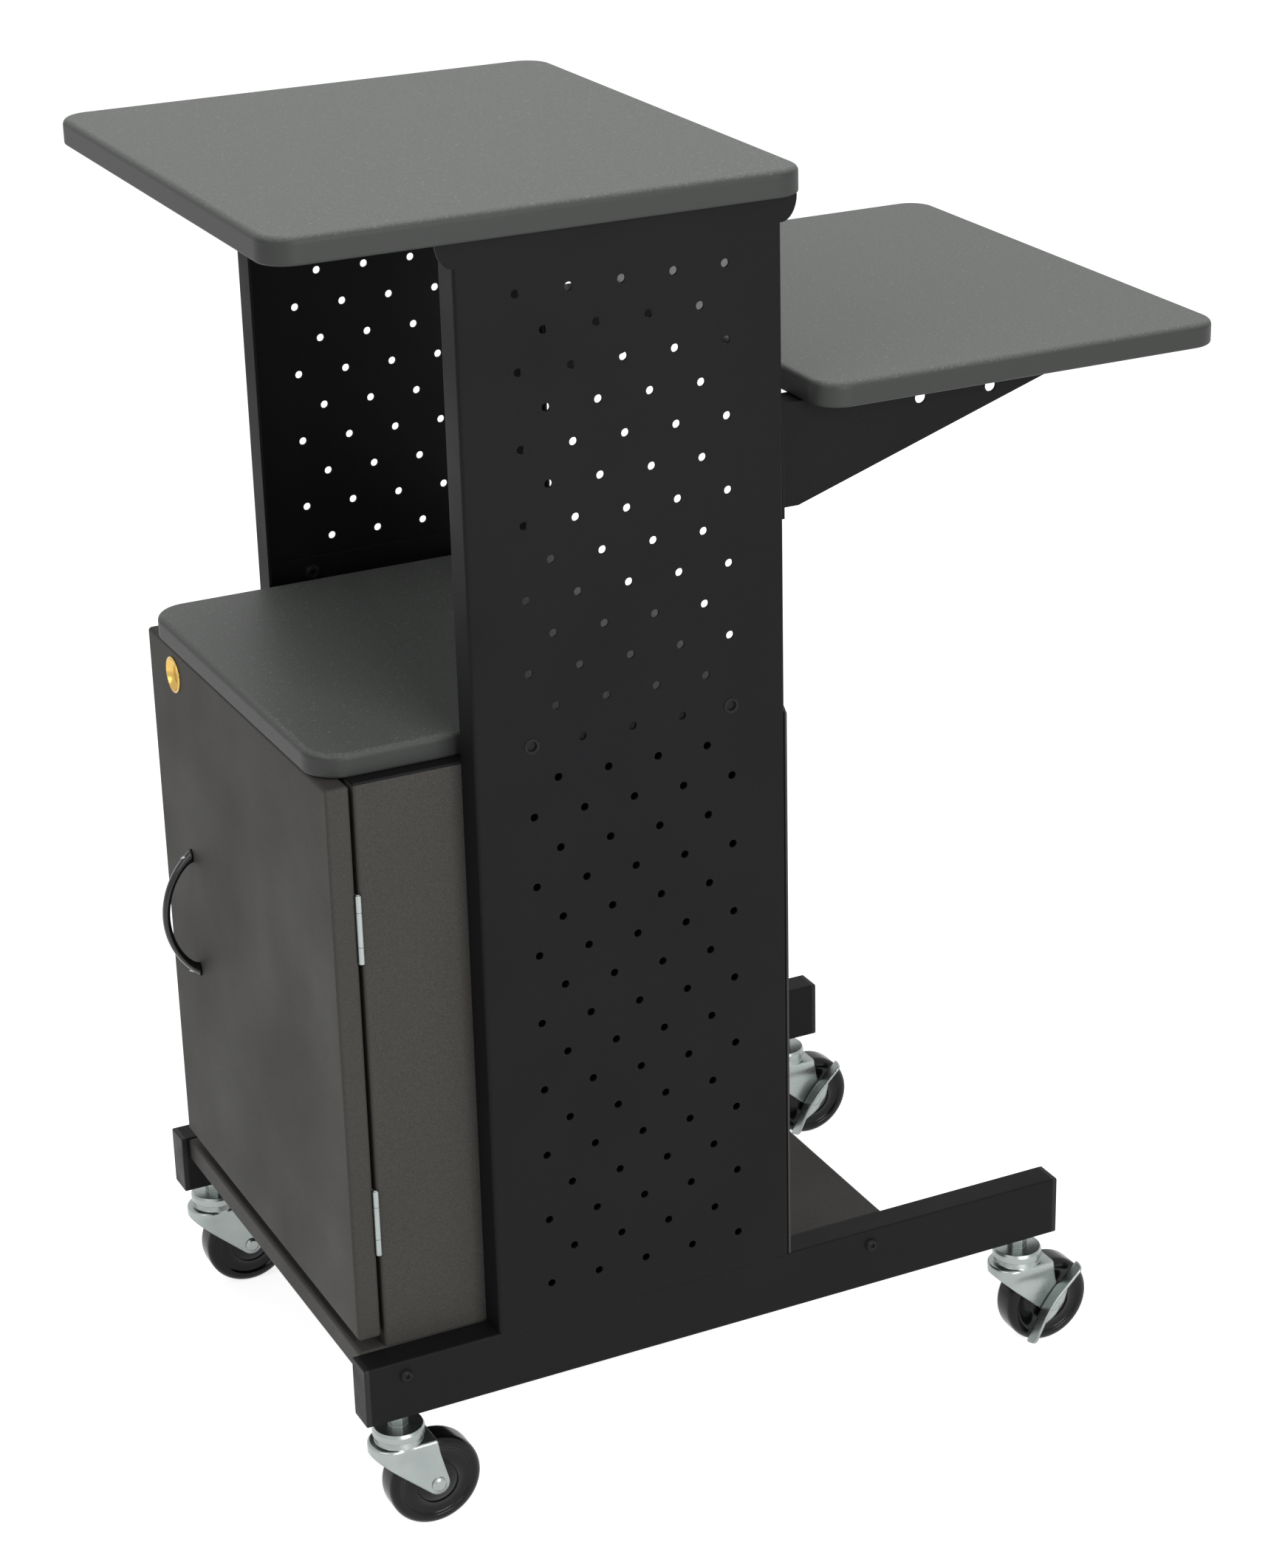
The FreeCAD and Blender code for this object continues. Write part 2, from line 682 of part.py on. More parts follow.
def knuckle_spans(bottom, middle):
    """Z spans of a leaf's knuckles: the middle half, or the two end quarters."""
    quarter = hinge_height / 4
    if middle:
        return [(bottom + quarter, bottom + 3 * quarter)]
    return [(bottom, bottom + quarter - part_gap),
            (bottom + 3 * quarter + part_gap, bottom + hinge_height)]


def hinge_leaf_solid(bottom, front, middle):
    """One leaf: a plate from its front face back, and its knuckles round the pin."""
    clear = hinge_x - hinge_barrel_radius - part_gap
    back = front + hinge_leaf
    leaf = block(hinge_x - hinge_leaf_reach, clear, front, back, bottom, bottom + hinge_height)
    bore_radius = hinge_pin_radius + fit_gap
    for low, high in knuckle_spans(bottom, middle):
        tab = block(clear, hinge_x - bore_radius, front, back, low, high)
        barrel = rod(hinge_barrel_radius, (hinge_x, hinge_y, low), UP, high - low)
        leaf = leaf.fuse([tab, barrel])
    bore = rod(bore_radius, (hinge_x, hinge_y, bottom), UP, hinge_height)
    return leaf.cut(bore).removeSplitter()


def hinge_pin(bottom):
    """Pin with a small domed head above and below the knuckles."""
    head = 0.8
    pin = rod(hinge_pin_radius, (hinge_x, hinge_y, bottom), UP, hinge_height)
    dome = [(0, 0), (0.8 * hinge_barrel_radius, 0), (0.5 * hinge_barrel_radius, head), (0, head)]
    upper = turned(dome, (hinge_x, hinge_y, bottom + hinge_height), UP)
    lower = turned(dome, (hinge_x, hinge_y, bottom), DOWN)
    return pin.fuse([upper, lower]).removeSplitter()


# --- lock ----------------------------------------------------------------------------------
dish_centre = lock_dish_radius - lock_dish_depth     # sphere's middle, out from the door's face


def dish_radius_at(height, extra):
    """Radius of the dish, made larger by a wall, at a height over the door's face."""
    return math.sqrt((lock_dish_radius + extra) ** 2 - (height - dish_centre) ** 2)


def dish_depth_at(radius, extra):
    """Depth of the dish, made larger by a wall, at a radius."""
    return math.sqrt((lock_dish_radius + extra) ** 2 - radius ** 2) - dish_centre


def lock_point(depth):
    """Point on the lock's axis at a depth behind the door's face."""
    return (lock_x, door_front_y + depth, lock_z)


lock_seat = dish_depth_at(lock_head_radius, 0) - fit_gap     # underside of the body's head
barrel_end = cam_front_y - part_gap - door_front_y
plug_end = cam_front_y - door_front_y
key_face = lock_seat - lock_head


def lock_cup():
    """Brass dish let into the door, with a rolled rim on its face."""
    rim = rod(lock_rim_radius, lock_point(0), OUT, lock_rim_height)
    rim = rim.makeFillet(0.6 * lock_rim_height, [edge for edge in rim.Edges
                         if near(edge.BoundBox.YMax, door_front_y - lock_rim_height)])
    centre = Vector(*lock_point(-dish_centre))
    shell = Part.makeSphere(lock_dish_radius + lock_wall, centre)
    behind = block(lock_x - lock_rim_radius, lock_x + lock_rim_radius, door_front_y,
                   door_front_y + lock_dish_radius, lock_z - lock_rim_radius,
                   lock_z + lock_rim_radius)
    cup = rim.fuse(shell.common(behind)).cut(Part.makeSphere(lock_dish_radius, centre))
    hole = rod(lock_barrel_radius + fit_gap, lock_point(0), IN, 2 * lock_dish_depth)
    return cup.cut(hole).removeSplitter()


def lock_body():
    """Barrel with a flat head in the dish, bored for the plug."""
    head = rod(lock_head_radius, lock_point(key_face), IN, lock_head)
    barrel = rod(lock_barrel_radius, lock_point(key_face), IN, barrel_end - key_face)
    bore = rod(lock_plug_radius + fit_gap, lock_point(key_face), IN, barrel_end)
    counterbore = rod(lock_plug_head + fit_gap, lock_point(key_face), IN, lock_head + fit_gap)
    return head.fuse(barrel).cut(bore.fuse(counterbore)).removeSplitter()


def lock_nut_solid():
    depth = dish_depth_at(lock_barrel_radius, lock_wall) + fit_gap
    return hex_nut(lock_nut_flats, lock_barrel_radius + fit_gap, lock_point(depth), IN, lock_nut)


def lock_plug():
    """Turning plug with a key slot in front and a square end for the cam."""
    head = rod(lock_plug_head, lock_point(key_face), IN, lock_head)
    core = rod(lock_plug_radius, lock_point(key_face), IN, plug_end - key_face)
    half = lock_cam_square / 2
    square = block(lock_x - half, lock_x + half, cam_front_y, cam_front_y + lock_cam_sheet,
                   lock_z - half, lock_z + half)
    slot_half = lock_key_slot / 2
    slot = block(lock_x - slot_half / 5, lock_x + slot_half / 5, door_front_y,
                 door_front_y + key_face + lock_key_slot, lock_z - slot_half, lock_z + slot_half)
    tapped = rod(cam_screw_radius + fit_gap, lock_point(plug_end + lock_cam_sheet), OUT,
                 cam_screw_length)
    return head.fuse([core, square]).cut(slot.fuse(tapped)).removeSplitter()


def lock_cam():
    """Cam that points sideways when unlocked and up behind the header when locked."""
    reach = lock_cam_length - lock_cam_tip
    tip = (lock_x + reach, cam_front_y, lock_z)
    hub = rod(lock_cam_hub, (lock_x, cam_front_y, lock_z), IN, lock_cam_sheet)
    arm = block(lock_x, lock_x + reach, cam_front_y, cam_front_y + lock_cam_sheet,
                lock_z - lock_cam_tip, lock_z + lock_cam_tip)
    half = lock_cam_square / 2 + fit_gap
    square = block(lock_x - half, lock_x + half, cam_front_y, cam_front_y + lock_cam_sheet,
                   lock_z - half, lock_z + half)
    end = rod(lock_cam_tip, tip, IN, lock_cam_sheet)
    return hub.fuse([arm, end]).cut(square).removeSplitter()


def lock_cam_screw():
    return pan_screw(lock_point(plug_end + lock_cam_sheet), OUT, cam_screw_radius,
                     cam_screw_length, screw_head_radius, screw_head)


# --- extension shelf brackets --------------------------------------------------------------
def bracket_screw_rows():
    """Y of the screws up into the extension shelf."""
    return [panel_half + place for place in bracket_screw_places]


def shelf_bracket():
    """Right bracket: a tapering web, a bolting flange and a flange under the shelf."""
    inner = bracket_web - bracket_sheet
    front = panel_half
    top = extension_underside
    low = top - bracket_depth
    tip = front + bracket_length
    outline = [(inner, front, low), (inner, front + bracket_foot, low),
               (inner, tip, top - bracket_tip), (inner, tip, top), (inner, front, top)]
    web = prism(outline, (bracket_sheet, 0, 0))
    bolting = block(inner, half_frame - 2, front, front + bracket_sheet, low,
                    top - bracket_relief)
    under = block(bracket_web - bracket_top_flange, bracket_web, front + bracket_relief, tip,
                  top - bracket_sheet, top)
    bracket = web.fuse([bolting, under]).removeSplitter()
    drills = [rod(bolt_radius + hole_gap, (tube_centre, front, z), IN, bracket_sheet)
              for z in bracket_bolt_rows()]
    drills += [rod(bracket_hole_radius, (inner, front + place, top - bracket_hole_drop), RIGHT,
                   bracket_sheet) for place in bracket_holes]
    drills += [rod(screw_radius + hole_gap, (bracket_screw_x, y, top), DOWN, bracket_sheet)
               for y in bracket_screw_rows()]
    return drilled(bracket, drills)


def bracket_bolt(z):
    seat = (tube_centre, panel_half + bracket_sheet, z)
    length = bracket_sheet + panel_sheet + nut_height + 1
    return button_bolt(seat, OUT, bolt_radius, length, bolt_head_radius, bolt_head)


def bracket_nut(z):
    start = (tube_centre, panel_half - panel_sheet, z)
    return hex_nut(nut_flats, bolt_radius + fit_gap, start, OUT, nut_height)


# --- casters, drawn round their own stem ---------------------------------------------------
def caster_stem():
    """Threaded stem, hexagon, raceway cup and kingpin: the part that does not swivel."""
    pieces = [rod(stem_radius, (0, 0, caster_height), UP, stem_rise),
              hexagon(hex_flats, (0, 0, cup_top), UP, caster_height - cup_top)]
    skirt_low = cup_top - cup_skirt
    lip = cup_radius - 1.2
    pieces.append(turned([(race_radius + 3 * part_gap, skirt_low), (cup_radius, skirt_low),
                          (cup_radius, cup_top - 2.4), (lip, cup_top), (0, cup_top),
                          (0, cup_underside), (race_radius + 3 * part_gap, cup_underside)],
                         (0, 0, 0), UP))
    rivet_top = crown_top - fork_sheet - part_gap
    pieces.append(rod(kingpin_radius, (0, 0, rivet_top), UP, cup_top - rivet_top))
    pieces.append(turned([(0, 0), (kingpin_head, 0), (0.6 * kingpin_head, -2), (0, -2)],
                         (0, 0, rivet_top), UP))
    return pieces[0].fuse(pieces[1:]).removeSplitter()


def stem_nut_solid():
    start = (0, 0, caster_height + tube_wall)
    return hex_nut(stem_nut_flats, stem_radius + fit_gap, start, UP, stem_nut)


def tangent_point(point, centre, radius, side):
    """Point where a line from a point touches a circle, on one side of it."""
    run = (point[0] - centre[0], point[1] - centre[1])
    spread = math.acos(radius / math.hypot(*run))
    angle = math.atan2(run[1], run[0]) + side * spread
    return (centre[0] + radius * math.cos(angle), centre[1] + radius * math.sin(angle))


def caster_fork():
    """Pressed fork: a crown with a bearing seat and two legs that taper to the axle."""
    axle = (caster_trail, axle_z)
    front = (-crown_front, crown_top - fork_lip)
    rear = (crown_rear, crown_top)
    outline = [(-crown_front, crown_top), front,
               tangent_point(front, axle, fork_boss_radius, 1),
               tangent_point(rear, axle, fork_boss_radius, -1), rear]
    width = 2 * leg_outer
    body = prism([(-leg_outer, y, z) for y, z in outline], (width, 0, 0))
    body = body.fuse(rod(fork_boss_radius, (-leg_outer,) + axle, RIGHT, width)).removeSplitter()
    plan = block(-leg_outer, leg_outer, -crown_front, 2 * crown_rear, 0, crown_top)
    plan = plan.makeFillet(crown_corner, edges_along(plan, 2, lambda p: near(p.y, -crown_front)))
    plan = plan.makeFillet(2 * fork_sheet, edges_where(plan, lambda p: near(p.z, crown_top)
                                                       and p.y < 2 * crown_rear - 1))
    inside = block(-leg_inner, leg_inner, -2 * crown_front, 3 * crown_rear, 0,
                   crown_top - fork_sheet)
    seat_top = cup_underside - part_gap
    low = crown_top - fork_sheet
    disc = fork_disc_radius
    seat = turned([(0, low), (disc, low), (disc, crown_top - 1), (disc - 1, crown_top),
                   (race_radius + 2 * part_gap, crown_top + 2), (race_radius, crown_top + 3),
                   (race_radius, seat_top - 1), (race_radius - 1, seat_top), (0, seat_top)],
                  (0, 0, 0), UP)
    skirt = turned([(disc - fork_sheet, low - fork_skirt), (disc, low - fork_skirt), (disc, low),
                    (disc - fork_sheet, low)], (0, 0, 0), UP)
    skirt = skirt.common(block(-disc, disc, -disc, 0, 0, crown_top))
    fork = body.common(plan).cut(inside).fuse([seat, skirt])
    kingpin = rod(kingpin_radius + fit_gap, (0, 0, 0), UP, caster_height)
    axle_hole = rod(axle_radius + fit_gap, (-leg_outer,) + axle, RIGHT, width)
    return fork.cut(kingpin.fuse(axle_hole)).removeSplitter()


def caster_wheel():
    """Moulded wheel with rounded shoulders, a recess in each side and a hub."""
    half = wheel_width / 2
    wheel = Part.makeCylinder(wheel_diameter / 2, wheel_width, Vector(0, 0, -half))
    wheel = wheel.makeFillet(wheel_shoulder, [edge for edge in wheel.Edges
                                              if near(edge.BoundBox.ZLength, 0)])
    inner, outer = wheel_web
    for low in (-half, half - wheel_recess):
        ring = Part.makeCylinder(outer, wheel_recess, Vector(0, 0, low))
        wheel = wheel.cut(ring.cut(Part.makeCylinder(inner, wheel_recess, Vector(0, 0, low))))
    hub_half = leg_inner - part_gap
    wheel = wheel.fuse(Part.makeCylinder(wheel_hub_radius, 2 * hub_half, Vector(0, 0, -hub_half)))
    wheel = wheel.cut(Part.makeCylinder(axle_radius + fit_gap, 2 * hub_half,
                                        Vector(0, 0, -hub_half))).removeSplitter()
    return placed(wheel, (0, caster_trail, axle_z), RIGHT)


def caster_axle(braked):
    """Riveted axle; on a braked caster it also carries the lever on its right."""
    reach = leg_outer + (lever_sheet + 2 * part_gap if braked else 0)
    pin = rod(axle_radius, (-leg_outer, caster_trail, axle_z), RIGHT, leg_outer + reach)
    dome = [(0, 0), (axle_head_radius, 0), (axle_head_radius, 0.4 * axle_head),
            (0.7 * axle_head_radius, axle_head), (0, axle_head)]
    heads = [turned(dome, (reach, caster_trail, axle_z), RIGHT),
             turned(dome, (-leg_outer, caster_trail, axle_z), LEFT)]
    return pin.fuse(heads).removeSplitter()


def brake_lever():
    """Foot lever on the axle: a flat plate with a flange that ends in two pads."""
    near_x = leg_outer + part_gap
    far_x = near_x + lever_flange
    axle = Vector(near_x, caster_trail, axle_z)

    def at(angle, distance):
        """Point at an angle and a distance from the axle."""
        turn = math.radians(angle)
        return axle + Vector(0, distance * math.cos(turn), distance * math.sin(turn))

    middle = (lever_up[0] + lever_down[0]) / 2
    front = [at(*lever_up), at(middle, lever_waist), at(*lever_down)]
    normals = []
    for start, end in zip(front, front[1:]):
        run = (end - start).normalize()
        normals.append(Vector(0, -run.z, run.y))
    bisector = (normals[0] + normals[1]) * (1 / (1 + normals[0].dot(normals[1])))
    behind = [point + shift * lever_sheet
              for point, shift in zip(front, (normals[0], bisector, normals[1]))]
    flange = prism(front + behind[::-1], (lever_flange, 0, 0))
    tips = [point + normal * lever_tip for point, normal in
            ((front[2], normals[1]), (front[0], normals[0]))]
    plate = prism(front + [tips[0], at(middle + 180, lever_waist), tips[1]], (lever_sheet, 0, 0))
    hub = rod(lever_hub, axle, RIGHT, lever_sheet)
    lever = plate.fuse([hub, flange]).cut(rod(axle_radius + fit_gap, axle, RIGHT, lever_flange))
    lever = lever.removeSplitter()
    pad_ends = [edge for edge in lever.Edges
                if near(edge.Length, lever_sheet) and near(edge.CenterOfMass.x, far_x)
                and edge.CenterOfMass.distanceToPoint(axle) > 2 * lever_waist]
    return lever.makeFillet(lever_pad_round, pad_ends)


# --- build ---------------------------------------------------------------------------------
os.makedirs("parts", exist_ok=True)

tube = leg_tube()
export("leg_tube_right", tube)
export("leg_tube_left", mirrored(tube))
export("tube_end_caps", both_sides([end_cap(-tube_front, -1), end_cap(tube_rear, 1)]))
export("tray_bolts", both_sides([tray_bolt(y) for y in tray_bolt_places]))
export("tray_nuts", both_sides([tray_nut(y) for y in tray_bolt_places]))
export("bottom_tray", bottom_tray())

panel = side_panel()
export("side_panel_right", panel)
export("side_panel_left", mirrored(panel))
export("top_shelf", top_shelf())
export("top_shelf_screws", both_sides(
    [sheet_screw((tube_centre, y, top_shelf_underside - panel_sheet), UP)
     for y in screw_rows_top]))

side = cabinet_side()
export("cabinet_side_right", side)
export("cabinet_side_left", mirrored(side))
export("cabinet_header", cabinet_header())
export("cabinet_base_screws", both_sides(
    [sheet_screw((base_screw_x, y, tube_top + cabinet_sheet), DOWN) for y in screw_rows_base]))
export("cabinet_back_panel", back_panel())
export("back_panel_screws", both_sides(
    [sheet_screw((tube_centre, panel_half + back_sheet, z), OUT) for z in back_screw_rows()]))

rail = support_rail()
export("support_rail_right", rail)
export("support_rail_left", mirrored(rail))
export("rail_rivet_nuts", both_sides([rivet_nut(y) for y in (-rail_bolt_y, rail_bolt_y)]))
export("rail_bolts", both_sides([rail_bolt(y) for y in (-rail_bolt_y, rail_bolt_y)]))
export("cabinet_top", cabinet_top())
export("cabinet_top_screws", both_sides(
    [sheet_screw((cabinet_screw_x, y, cabinet_roof), UP) for y in screw_rows_cabinet_top]))

export("door_panel", door_panel())
export("door_handle", door_handle())
export("handle_screws", [handle_screw(-handle_screw_z), handle_screw(handle_screw_z)])
export("hinge_leaves_cabinet", [hinge_leaf_solid(bottom, -cabinet_front - hinge_leaf, False)
                                for bottom in hinge_rows()])
export("hinge_leaves_door", [hinge_leaf_solid(bottom, door_rear_y, True)
                             for bottom in hinge_rows()])
export("hinge_pins", [hinge_pin(bottom) for bottom in hinge_rows()])

export("lock_cup", lock_cup())
export("lock_body", lock_body())
export("lock_nut", lock_nut_solid())
export("lock_plug", lock_plug())
export("lock_cam", lock_cam())
export("lock_cam_screw", lock_cam_screw())

bracket = shelf_bracket()
export("shelf_bracket_right", bracket)
export("shelf_bracket_left", mirrored(bracket))
export("bracket_bolts", both_sides([bracket_bolt(z) for z in bracket_bolt_rows()]))
export("bracket_nuts", both_sides([bracket_nut(z) for z in bracket_bolt_rows()]))
export("extension_shelf", extension_shelf())
export("extension_shelf_screws", both_sides(
    [sheet_screw((bracket_screw_x, y, extension_underside - bracket_sheet), UP)
     for y in bracket_screw_rows()]))

front_row, rear_row = caster_rows()
stem_nuts = []
for end, stem_y in (("front", front_row), ("rear", rear_row)):
    for hand, stem_x in (("right", tube_centre), ("left", -tube_centre)):
        place = Vector(stem_x, stem_y, 0)
        corner = end + "_" + hand
        braked = end == "rear"
        export("caster_stem_" + corner, caster_stem().translated(place))
        export("caster_fork_" + corner, caster_fork().translated(place))
        export("caster_axle_" + corner, caster_axle(braked).translated(place))
        export("caster_wheel_" + corner, caster_wheel().translated(place))
        if braked:
            export("brake_lever_" + corner, brake_lever().translated(place))
        stem_nuts.append(stem_nut_solid().translated(place))
export("caster_stem_nuts", stem_nuts)
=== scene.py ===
import json
import math

import bmesh
import bpy
from mathutils import Matrix, Vector


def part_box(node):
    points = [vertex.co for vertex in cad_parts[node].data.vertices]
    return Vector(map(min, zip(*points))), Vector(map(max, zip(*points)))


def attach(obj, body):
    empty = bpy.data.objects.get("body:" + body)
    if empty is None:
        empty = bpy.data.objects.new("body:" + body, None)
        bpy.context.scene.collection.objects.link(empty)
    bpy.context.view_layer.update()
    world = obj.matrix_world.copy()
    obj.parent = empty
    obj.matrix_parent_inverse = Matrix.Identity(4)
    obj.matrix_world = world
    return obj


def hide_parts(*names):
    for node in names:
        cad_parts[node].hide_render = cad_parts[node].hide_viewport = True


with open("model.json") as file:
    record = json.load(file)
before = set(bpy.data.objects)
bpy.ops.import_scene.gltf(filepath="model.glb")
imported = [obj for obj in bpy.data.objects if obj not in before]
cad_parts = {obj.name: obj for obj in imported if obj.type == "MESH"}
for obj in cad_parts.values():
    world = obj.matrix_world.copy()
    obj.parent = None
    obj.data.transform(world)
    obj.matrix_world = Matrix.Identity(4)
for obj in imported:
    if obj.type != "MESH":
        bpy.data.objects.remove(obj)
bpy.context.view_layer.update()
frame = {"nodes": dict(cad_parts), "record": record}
print("frame loaded")


# node helpers

def newMaterial(name, base, roughness, metallic=0.0, specular=0.5, coat=0.0):
    material = bpy.data.materials.new(name)
    material.use_nodes = True
    shader = material.node_tree.nodes["Principled BSDF"]
    shader.inputs["Base Color"].default_value = (*base, 1)
    shader.inputs["Roughness"].default_value = roughness
    shader.inputs["Metallic"].default_value = metallic
    shader.inputs["Specular IOR Level"].default_value = specular
    shader.inputs["Coat Weight"].default_value = coat
    shader.inputs["Coat Roughness"].default_value = 0.1
    return material, shader


def objectCoordinates(tree):
    return tree.nodes.new("ShaderNodeTexCoord").outputs["Object"]


def noise(tree, vector, scale, detail=2.0, rough=0.5):
    node = tree.nodes.new("ShaderNodeTexNoise")
    node.inputs["Scale"].default_value = scale
    node.inputs["Detail"].default_value = detail
    node.inputs["Roughness"].default_value = rough
    tree.links.new(vector, node.inputs["Vector"])
    return node.outputs["Fac"]


def spread(tree, value, low, high, fromLow=0.3, fromHigh=0.7):
    node = tree.nodes.new("ShaderNodeMapRange")
    node.inputs["From Min"].default_value = fromLow
    node.inputs["From Max"].default_value = fromHigh
    node.inputs["To Min"].default_value = low
    node.inputs["To Max"].default_value = high
    tree.links.new(value, node.inputs["Value"])
    return node.outputs["Result"]


def blendColors(tree, factor, first, second):
    node = tree.nodes.new("ShaderNodeMix")
    node.data_type = "RGBA"
    tree.links.new(factor, node.inputs[0])
    for socket, color in ((node.inputs[6], first), (node.inputs[7], second)):
        if isinstance(color, tuple):
            socket.default_value = (*color, 1)
        else:
            tree.links.new(color, socket)
    return node.outputs[2]


def addBump(tree, shader, height, strength, distance, rounded=None):
    node = tree.nodes.new("ShaderNodeBump")
    if rounded is not None:
        tree.links.new(rounded, node.inputs["Normal"])
    node.inputs["Strength"].default_value = strength
    node.inputs["Distance"].default_value = distance
    tree.links.new(height, node.inputs["Height"])
    tree.links.new(node.outputs["Normal"], shader.inputs["Normal"])


def edgeMask(tree, size=0.0012, low=0.05, high=0.3):
    # one where the surface turns over a sharp edge, and the edge's softened normal
    bevel = tree.nodes.new("ShaderNodeBevel")
    bevel.samples = 4
    bevel.inputs["Radius"].default_value = size
    geometry = tree.nodes.new("ShaderNodeNewGeometry")
    dot = tree.nodes.new("ShaderNodeVectorMath")
    dot.operation = "DOT_PRODUCT"
    tree.links.new(bevel.outputs["Normal"], dot.inputs[0])
    tree.links.new(geometry.outputs["Normal"], dot.inputs[1])
    mask = spread(tree, dot.outputs["Value"], 1.0, 0.0, 1 - high, 1 - low)
    return mask, bevel.outputs["Normal"]


# materials

powderCoat = {"grain": 1500, "cloud": 9, "bump": 0.3, "depth": 0.0002, "tone": 0.22,
              "shine": 0.1}


def makePowderCoat(name, base, edge, roughness):
    material, shader = newMaterial(name, base, roughness, specular=powderCoat["shine"])
    tree = material.node_tree
    vector = objectCoordinates(tree)
    grain = noise(tree, vector, powderCoat["grain"], 2.0, 0.6)
    cloud = noise(tree, vector, powderCoat["cloud"], 3.0)
    tone = powderCoat["tone"]
    dark = tuple(c * (1 - tone) for c in base)
    light = tuple(c * (1 + 2 * tone) for c in base)
    speckled = blendColors(tree, spread(tree, grain, 0, 1), dark, light)
    # painted highlight: sharp edges take the lighter edge colour
    mask, rounded = edgeMask(tree)
    paintedEdgeHighlight = blendColors(tree, mask, speckled, edge)
    tree.links.new(paintedEdgeHighlight, shader.inputs["Base Color"])
    tree.links.new(spread(tree, cloud, roughness - 0.06, roughness + 0.08),
                   shader.inputs["Roughness"])
    addBump(tree, shader, grain, powderCoat["bump"], powderCoat["depth"], rounded)
    return material


# the 0.36 factor darkens faces not turned up: partly a darker edge band, partly painted shade
laminate = {"speckle": 900, "fleck": 380, "bump": 0.12, "depth": 0.0001, "shine": 0.25,
            "edgeBandAndShade": 0.36}


def makeLaminate(name, base):
    # speckled board face; faces not turned up are darker, partly a darker edge band and partly
    # painted shade
    material, shader = newMaterial(name, base, 0.48, specular=laminate["shine"])
    tree = material.node_tree
    vector = objectCoordinates(tree)
    normal = tree.nodes.new("ShaderNodeSeparateXYZ")
    tree.links.new(tree.nodes.new("ShaderNodeTexCoord").outputs["Normal"],
                   normal.inputs["Vector"])
    edgeBandAndShade = spread(tree, normal.outputs["Z"], 1.0, 0.0, 0.35, 0.95)
    speckle = noise(tree, vector, laminate["speckle"], 2.0, 0.7)
    fleck = noise(tree, vector, laminate["fleck"], 1.0)
    dark = tuple(c * 0.72 for c in base)
    light = tuple(min(1, c * 1.5) for c in base)
    mottled = blendColors(tree, spread(tree, speckle, 0, 1, 0.35, 0.65), dark, light)
    flecked = blendColors(tree, spread(tree, fleck, 0, 0.5, 0.66, 0.74), mottled,
                          tuple(min(1, c * 2.6) for c in base))
    mask, rounded = edgeMask(tree, 0.0012)
    # faces not turned up are darkened: partly a darker edge band, partly painted shade
    edgeBandShaded = blendColors(tree, edgeBandAndShade, flecked, tuple(c * laminate["edgeBandAndShade"] for c in base))
    # sharp edges take a tone between the top and the darkened sides
    edged = blendColors(tree, mask, edgeBandShaded, tuple(c * 0.8 for c in base))
    tree.links.new(edged, shader.inputs["Base Color"])
    tree.links.new(spread(tree, speckle, 0.42, 0.56), shader.inputs["Roughness"])
    addBump(tree, shader, speckle, laminate["bump"], laminate["depth"], rounded)
    return material


# the 1.25 factor brightens sharp edges as a painted highlight
metal = {"patch": 45, "bump": 0.03, "depth": 0.0001, "paintedEdgeHighlight": 1.25, "edge": 0.0008}


def makeMetal(name, base, roughness, grain, tint):
    material, shader = newMaterial(name, base, roughness, metallic=1.0)
    tree = material.node_tree
    vector = objectCoordinates(tree)
    brushed = noise(tree, vector, grain, 4.0, 0.6)
    patches = noise(tree, vector, metal["patch"], 1.0)
    colored = blendColors(tree, spread(tree, patches, 0, 1, 0.2, 0.8), base, tint)
    # painted highlight: base colour brightened on sharp edges
    bright = tuple(min(1, c * metal["paintedEdgeHighlight"]) for c in base)
    mask, rounded = edgeMask(tree, metal["edge"])
    paintedEdgeHighlight = blendColors(tree, mask, colored, bright)
    tree.links.new(paintedEdgeHighlight, shader.inputs["Base Color"])
    tree.links.new(spread(tree, brushed, roughness - 0.05, roughness + 0.07),
                   shader.inputs["Roughness"])
    addBump(tree, shader, brushed, metal["bump"], metal["depth"], rounded)
    return material


plastic = {"smear": 30, "shine": 0.22, "depth": 0.0001, "edge": 0.0008}


def makePlastic(name, base, roughness, grain, bump, coat=0.0):
    material, shader = newMaterial(name, base, roughness, specular=plastic["shine"], coat=coat)
    tree = material.node_tree
    vector = objectCoordinates(tree)
    fine = noise(tree, vector, grain, 2.0)
    smear = noise(tree, vector, plastic["smear"], 3.0)
    # lighter tone for random smears, and a painted highlight on sharp edges
    smearAndEdgeHighlight = tuple(c * 1.6 + 0.001 for c in base)
    mask, rounded = edgeMask(tree, plastic["edge"])
    smeared = blendColors(tree, spread(tree, smear, 0, 0.5), base, smearAndEdgeHighlight)
    # painted highlight on sharp edges
    tree.links.new(blendColors(tree, mask, smeared, smearAndEdgeHighlight), shader.inputs["Base Color"])
    tree.links.new(spread(tree, smear, roughness * 0.85, roughness * 1.3),
                   shader.inputs["Roughness"])
    addBump(tree, shader, fine, bump, plastic["depth"], rounded)
    return material


